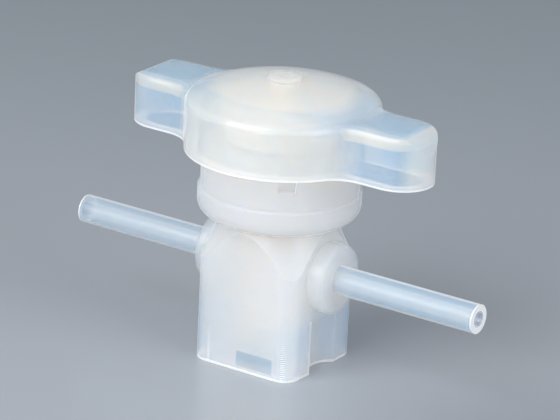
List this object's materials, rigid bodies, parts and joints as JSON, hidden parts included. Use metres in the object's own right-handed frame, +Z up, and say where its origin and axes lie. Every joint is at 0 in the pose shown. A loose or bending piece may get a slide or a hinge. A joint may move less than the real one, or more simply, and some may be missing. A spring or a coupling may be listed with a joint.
{
  "type": "plug stopcock",
  "caption": "Two-way plug stopcock in milky fluoropolymer: square body, straight tube stubs, gland nut and a domed, winged handle that turns the plug.",
  "frame": {"origin": "centre of the body's base, on the surface it stands on", "axes": "+X along the tubes towards the outlet, +Z up along the plug's axis, -Y towards the picture's front"},
  "size_m": [0.0636, 0.0262, 0.0399],
  "materials": {
    "milky_plastic": "satin, translucent",
    "tube_plastic": "gloss, translucent",
    "white_plastic": "satin",
    "handle_plastic": "satin, translucent"
  },
  "bodies": {
    "valve_body": {"body": "milky_plastic", "inlet_tube": "tube_plastic", "outlet_tube": "tube_plastic", "packing_ring": "white_plastic", "thrust_washer": "milky_plastic", "gland_nut": "milky_plastic"},
    "turning_plug": {"plug": "white_plastic", "handle": "handle_plastic"}
  },
  "joints": [
    {"name": "plug_turn", "type": "hinge", "parent": "valve_body", "child": "turning_plug", "pos_m": [0, 0, 0.01335], "axis": [0, 0, 1], "continuous": true}
  ]
}
